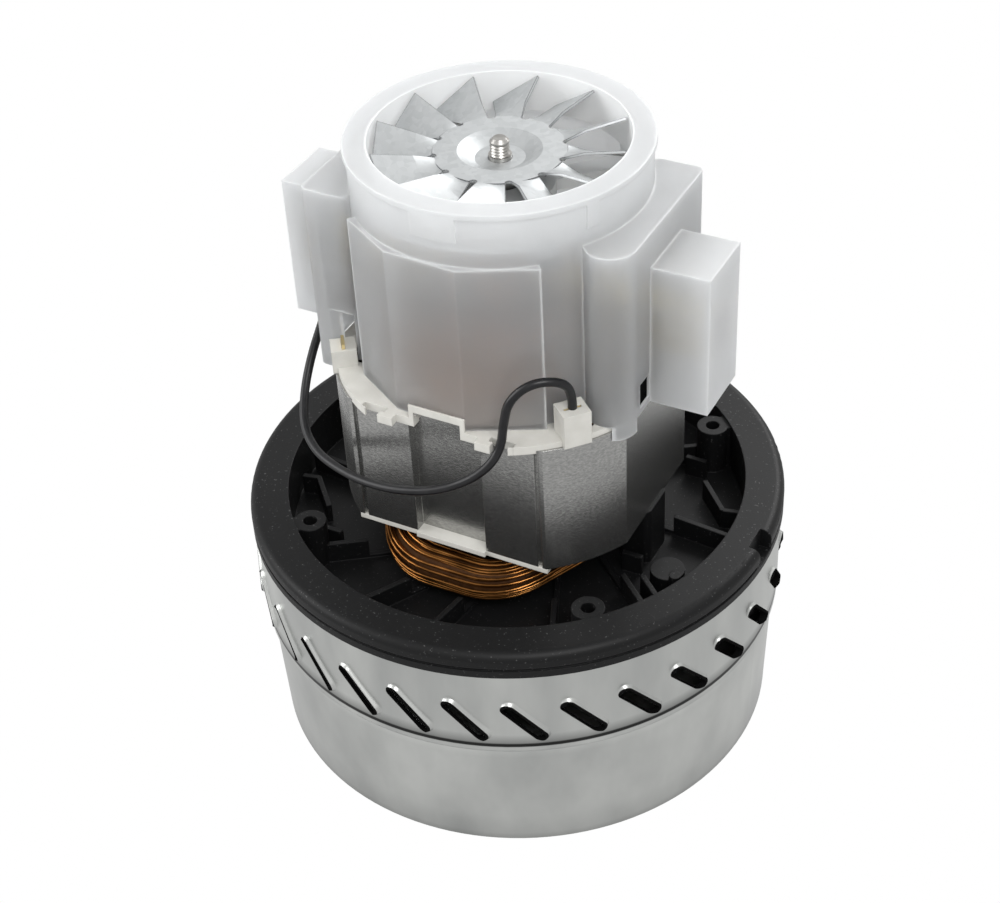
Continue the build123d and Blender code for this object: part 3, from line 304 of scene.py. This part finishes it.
# ---------------------------------------------------------------- black moulding with pale dust specks
black, tree, shader = material("black_moulding")
specks = ramp(tree, noise(tree, 1500.0, 2.0), 0.67, 0.72, (0.0042, 0.0043, 0.0046), (0.06, 0.06, 0.06))
tree.links.new(specks, shader.inputs["Base Color"])
shader.inputs["Roughness"].default_value = 0.48
shader.inputs["Specular IOR Level"].default_value = 0.22
bump(tree, shader, noise(tree, 2500.0, 5.0), 0.25, 0.00008, 0.0004)

# ---------------------------------------------------------------- stacked sheets of the stator and the armature
lamination, tree, shader = material("lamination")
sheets = noise(tree, 1.0, 3.0, (1300, 1300, 2600))
grain = ramp(tree, sheets, 0.25, 0.75, (0.30, 0.30, 0.295), (0.50, 0.50, 0.485))
tree.links.new(grain, shader.inputs["Base Color"])
shader.inputs["Roughness"].default_value = 0.27
shader.inputs["Metallic"].default_value = 0.95
bump(tree, shader, sheets, 0.3, 0.0001, 0.0003)

# ---------------------------------------------------------------- mottled zinc of the cooling fan
spangle, tree, shader = material("galvanised_sheet")
cells = tree.nodes.new("ShaderNodeTexVoronoi")
cells.inputs["Scale"].default_value = 700.0
tree.links.new(place(tree), cells.inputs["Vector"])
mottled = ramp(tree, cells.outputs["Color"], 0.1, 0.9, (0.46, 0.475, 0.48), (0.52, 0.535, 0.54))
# Its cut edges are painted dark, as painted shade
painted_edge_shade = edges(tree, 0.0005, 0.70, 0.85)
tree.links.new(mix_colours(tree, painted_edge_shade, mottled, (0.05, 0.05, 0.055, 1)), shader.inputs["Base Color"])
shader.inputs["Roughness"].default_value = 0.50
shader.inputs["Metallic"].default_value = 0.8
bump(tree, shader, noise(tree, 500.0), 0.1, 0.00005)

# ---------------------------------------------------------------- frosted cover
# A rough clear polymer that also glows through
frosted, tree, shader = material("frosted_cover")
where, x, y, z = position(tree)
aside = calc(tree, "ABSOLUTE", x)
# From 1 in the drum to nearly nothing in the ears
drum_share = span(tree, aside, 0.040, 0.056, 1.0, 0.1)

# Painted shade: the deep inside darkens the drum by height, from the cover's foot to its top
painted_depth_shade = ((0, 0.86), (0.3, 0.78), (0.58, 0.80), (0.75, 0.93), (0.92, 1.0))
tint_and_shade = ramp(tree, noise(tree, 40.0, 3.0), 0.3, 0.7, (0.87, 0.882, 0.89), (0.93, 0.94, 0.948))
tint_and_shade = by_height(tree, tint_and_shade, 0.113, 0.1737, painted_depth_shade, drum_share)

# Painted light: the copper behind the front panel is painted in as a warm glow on it
far = tree.nodes.new("ShaderNodeVectorMath")
far.operation = "DISTANCE"
far.inputs[1].default_value = (0.006, -0.042, 0.124)
tree.links.new(where, far.inputs[0])
painted_copper_glow = ramp(tree, far.outputs["Value"], 0.006, 0.028, (0.96, 0.86, 0.80), (1.0, 1.0, 1.0))
tree.links.new(mix_colours(tree, 1.0, tint_and_shade, painted_copper_glow, "MULTIPLY"), shader.inputs["Base Color"])

# The top ring and the ears let less light through
ring_clear = span(tree, z, 0.156, 0.170, 0.78, 0.52)
ear_clear = calc(tree, "ADD", calc(tree, "MULTIPLY", drum_share, 0.30), 0.50)
clear = calc(tree, "MINIMUM", ring_clear, ear_clear)
tree.links.new(clear, shader.inputs["Transmission Weight"])
shader.inputs["Roughness"].default_value = 0.34
shader.inputs["IOR"].default_value = 1.45
bump(tree, shader, noise(tree, 900.0), 0.08, 0.00005, 0.0009)
through = tree.nodes.new("ShaderNodeBsdfTranslucent")
tree.links.new(tint_and_shade, through.inputs["Color"])
glowing = mix_shaders(tree, 0.22, shader.outputs[0], through.outputs[0])

# Painted light: its moulded edges and the fan's well are painted whiter, where they scatter more light
well_radius, well_floor = 0.0323, 0.150
flat = calc(tree, "ADD", calc(tree, "MULTIPLY", x, x), calc(tree, "MULTIPLY", y, y))
inside = calc(tree, "LESS_THAN", flat, well_radius ** 2)
well = calc(tree, "MULTIPLY", inside, calc(tree, "GREATER_THAN", z, well_floor))
painted_light_share = calc(tree, "MAXIMUM", edges(tree, 0.0016, 0.75, 0.42), calc(tree, "MULTIPLY", well, 0.6))
with_painted_light = mix_shaders(tree, painted_light_share, glowing, diffuse(tree, (0.86, 0.87, 0.87)))

# Painted shade: the back of each of the two windows is painted black, because the inside behind it is dark
crossed = calc(tree, "MULTIPLY", y, calc(tree, "SIGN", x))
painted_window_shade = calc(tree, "COMPARE", aside, 0.04208, 0.00095)
for value, middle, half in ((z, 0.11850, 0.00350), (crossed, -0.01250, 0.00270)):
    painted_window_shade = calc(tree, "MULTIPLY", painted_window_shade, calc(tree, "COMPARE", value, middle, half))
with_window_shade = mix_shaders(tree, painted_window_shade, with_painted_light, diffuse(tree, painted_shade_black))
tree.links.new(with_window_shade, tree.nodes["Material Output"].inputs["Surface"])

# ---------------------------------------------------------------- materials onto the pieces
dressed = (
    (zinc, ["discharge_band", "stage_plate"]),
    (shell_zinc, ["fan_shell"]),
    (black, ["bell_bracket"]),
    (lamination, ["stator_core", "armature_core"]),
    (frosted, ["motor_cover"]),
    (ivory, ["lower_insulator", "upper_insulator"]),
    (enamel, ["armature_winding"]),
    (bare_copper, ["commutator"]),
    (compound, ["commutator_hub", "brush_plate_left", "brush_plate_right", "brush_cap_left", "brush_cap_right"]),
    (bright, ["shaft", "tail_washer", "tail_nut", "stage_spacer", "bracket_spacer", "armature_spacer"]),
    (bright, ["lower_bearing_outer", "upper_bearing_outer", "lower_bearing_inner", "upper_bearing_inner"]),
    (bright, ["stator_screws", "fan_bush"]),
    (aluminium, ["return_guide", "first_impeller", "second_impeller"]),
    (spangle, ["cooling_fan"]),
    (brass, ["contact_front", "contact_left", "brush_sleeve_left", "brush_sleeve_right"]),
    (carbon, ["carbon_brush_left", "carbon_brush_right"]),
)
for made, names in dressed:
    for name in names:
        node = body_nodes[name]
        node.data.materials.clear()
        node.data.materials.append(made)
        for face in node.data.polygons:
            face.material_index = 0


# ---------------------------------------------------------------- shape helpers
def tube(name, radius, resolution):
    """A curve that draws its lines as round tubes."""
    made = bpy.data.curves.new(name, "CURVE")
    made.dimensions = "3D"
    made.bevel_depth = radius
    made.bevel_resolution = resolution
    return made


def add_line(curve, points, kind="POLY", closed=False):
    """A line through points, metres, added to a curve."""
    line = curve.splines.new(kind)
    line.points.add(len(points) - 1)
    for spot, at in zip(line.points, points):
        spot.co = (*at, 1)
    line.use_cyclic_u = closed
    return line


def shown(name, data, surface):
    """A linked object of a curve or a mesh, with one material."""
    data.materials.clear()
    data.materials.append(surface)
    made = bpy.data.objects.new(name, data)
    scene.collection.objects.link(made)
    return made


# ---------------------------------------------------------------- lead
lead_route = [
    (-52.0, -1.5, 126.35), (-52.0, -1.5, 117.0), (-51.8, -9.6, 109.8), (-51.0, -17.0, 104.6),
    (-49.4, -24.4, 98.2), (-45.4, -32.0, 93.4), (-38.0, -38.2, 92.0), (-29.2, -42.4, 92.6),
    (-19.6, -45.6, 93.7), (-9.0, -47.2, 95.6), (1.6, -46.6, 98.2), (9.9, -44.1, 102.0),
    (16.2, -42.6, 108.2), (17.9, -39.6, 112.6), (18.7, -39.4, 119.4), (20.0, -38.8, 126.4),
    (25.0, -36.2, 131.4), (30.6, -31.6, 130.4), (31.9, -28.6, 125.8), (31.9, -28.6, 121.0),
]
lead_curve = tube("lead", 0.00115, 4)
lead_curve.resolution_u = 12
line = add_line(lead_curve, [(x / 1000, y / 1000, z / 1000) for x, y, z in lead_route], "NURBS")
line.order_u = 3
line.use_endpoint_u = True
lead = shown("lead", lead_curve, lead_black)
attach(lead, "housing")
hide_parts("lead_wire")

# ---------------------------------------------------------------- field coils
# A coil's middle line, millimetres: its legs, its bows under and over the stack, and its bends
coil_leg_x, coil_leg_y = 29.2, 12.2
low_bow_x, low_bow_y, coil_low = 17.0, 36.6, 62.9
high_bow_x, high_bow_y, coil_high = 0, 27.6, 119.4
leg_bend, bow_bend = 7.6, 15
# The lobe under the stack is narrower and hangs lowest at its bow, as in the photograph
lobe_x, lobe_lift = 14.0, 4.6
turns = 34
# The turns lie in one layer round the middle line, in a sweep from a first angle, degrees
turn_layer, first_angle, turn_sweep = 4.85, -75, 330
rng = random.Random(7)


def rounded_loop(points, radii, steps=7):
    """Points round a closed outline whose corners are arcs."""
    found = []
    for index, point in enumerate(points):
        here = Vector(point)
        back = (Vector(points[index - 1]) - here).normalized()
        ahead = (Vector(points[(index + 1) % len(points)]) - here).normalized()
        half = back.angle(ahead) / 2
        reach = radii[index] / math.tan(half)
        middle = here + (back + ahead).normalized() * radii[index] / math.sin(half)
        first = here + back * reach - middle
        last = here + ahead * reach - middle
        for step in range(steps + 1):
            found.append(middle + first.slerp(last, step / steps) * radii[index])
    return found


def bow_shift(target_x, target_y, spread, lean):
    """How far a wire lies inside and outside a bow's first run, and that run's slopes."""
    run = Vector((coil_leg_x - target_x, target_y - coil_leg_y))
    across, along = run.y / run.length, run.x / run.length
    return lean * across - spread * along, spread * across + lean * along, across, along


def coil_loop(spread, lean, side, jitter):
    """One turn's points, metres, from its seven corners."""
    leg_x, leg_y = coil_leg_x + spread, coil_leg_y + lean
    inside, outside, across, along = bow_shift(low_bow_x, low_bow_y, spread, lean)
    low = coil_low + inside
    bow_x = lobe_x + outside * across / (1 + along)
    bow_y = low_bow_y + outside + jitter[1]
    radii = [leg_bend - inside, bow_bend + outside, bow_bend + outside, leg_bend - inside]
    inside, outside, across, along = bow_shift(high_bow_x, high_bow_y, spread, lean)
    high = coil_high - inside + jitter[2]
    radii += [leg_bend - inside, bow_bend + outside, leg_bend - inside]
    corners = (
        (leg_x, leg_y, low + lobe_lift),
        (bow_x, bow_y, low + jitter[0]),
        (-bow_x, bow_y + jitter[4], low + jitter[5]),
        (-leg_x, leg_y, low + lobe_lift),
        (-leg_x, leg_y, high),
        (high_bow_x, high_bow_y + outside / along + jitter[3], high),
        (leg_x, leg_y, high),
    )
    return [at / 1000 for at in rounded_loop([(-side * x, side * y, z) for x, y, z in corners], radii)]


for name, side in (("front", -1), ("rear", 1)):
    wires = tube("coil_" + name, 0.0004, 2)
    for turn in range(turns):
        angle = math.radians(first_angle + turn_sweep * (turn + rng.uniform(-0.3, 0.3)) / (turns - 1))
        layer = turn_layer + rng.uniform(-0.35, 0.3)
        jitter = [rng.uniform(-0.8, 0.8) for _ in range(6)]
        add_line(wires, coil_loop(layer * math.cos(angle), layer * math.sin(angle), side, jitter), closed=True)
    made = shown("coil_" + name, wires, enamel)
    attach(made, "housing")
    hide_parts("field_winding_" + name)
    # Painted shade: a near-black tube inside each coil shows as shade between the turns
    heart = tube("heart_" + name, 0.0042, 4)
    add_line(heart, coil_loop(0, 0, side, [0] * 6), closed=True)
    made = shown("coil_heart_" + name, heart, coil_shade_core)
    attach(made, "housing")
    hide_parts("field_core_" + name)

# ---------------------------------------------------------------- brush springs
spring_turns, turn_points, spring_wire = 7, 24, 0.0004
for end, side in (("left", -1), ("right", 1)):
    low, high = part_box("brush_spring_" + end)
    middle = (low + high) / 2
    reach = min(high.y - low.y, high.z - low.z) / 2 - spring_wire
    count = spring_turns * turn_points
    helix = []
    for index in range(count + 1):
        angle = index * math.tau / turn_points
        along = low.x + spring_wire + (high.x - low.x - 2 * spring_wire) * index / count
        helix.append((along, middle.y + reach * math.cos(angle), middle.z + reach * math.sin(angle)))
    coil = tube("spring_" + end, spring_wire, 2)
    add_line(coil, helix)
    # The curve is turned into a mesh
    shaped = shown("spring_shape_" + end, coil, spring)
    bpy.context.view_layer.update()
    mesh = bpy.data.meshes.new_from_object(shaped.evaluated_get(bpy.context.evaluated_depsgraph_get()))
    bpy.data.objects.remove(shaped)
    made = shown("brush_coil_" + end, mesh, spring)
    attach(made, "housing")
    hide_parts("brush_spring_" + end)
    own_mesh(made)

# ---------------------------------------------------------------- light
world = bpy.data.worlds.new("world")
scene.world = world
world.use_nodes = True
tree = world.node_tree
tree.nodes.clear()
out = tree.nodes.new("ShaderNodeOutputWorld")
# The camera sees plain white, and the part is lit by a sky that is a little darker below
seen = tree.nodes.new("ShaderNodeBackground")
seen.inputs["Color"].default_value = (1, 1, 1, 1)
seen.inputs["Strength"].default_value = 1.0
lighting = tree.nodes.new("ShaderNodeBackground")
where = tree.nodes.new("ShaderNodeTexCoord")
parts = tree.nodes.new("ShaderNodeSeparateXYZ")
tree.links.new(where.outputs["Generated"], parts.inputs[0])
shade = ramp(tree, span(tree, parts.outputs["Z"], -1.0, 1.0), 0.3, 0.9, 0.85, 1.0)
tree.links.new(shade, lighting.inputs["Color"])
lighting.inputs["Strength"].default_value = 0.8
camera_ray = tree.nodes.new("ShaderNodeLightPath").outputs["Is Camera Ray"]
tree.links.new(mix_shaders(tree, camera_ray, lighting.outputs[0], seen.outputs[0]), out.inputs["Surface"])


def area(name, place_at, aim, size, power):
    """A square lamp at a place, aimed at another, metres and watts."""
    lamp = bpy.data.lights.new(name, "AREA")
    lamp.shape = "SQUARE"
    lamp.size = size
    lamp.energy = power
    made = bpy.data.objects.new(name, lamp)
    scene.collection.objects.link(made)
    made.location = place_at
    made.rotation_euler = (Vector(aim) - Vector(place_at)).to_track_quat("-Z", "Y").to_euler()
    return made


area("key", (0.5, -0.5, 0.9), (0, 0, 0.09), 0.5, 6.0)
area("fill", (-0.7, -0.4, 0.4), (0, 0, 0.09), 0.6, 4.0)
area("back", (0.1, 0.8, 0.7), (0, 0, 0.12), 0.5, 5.0)
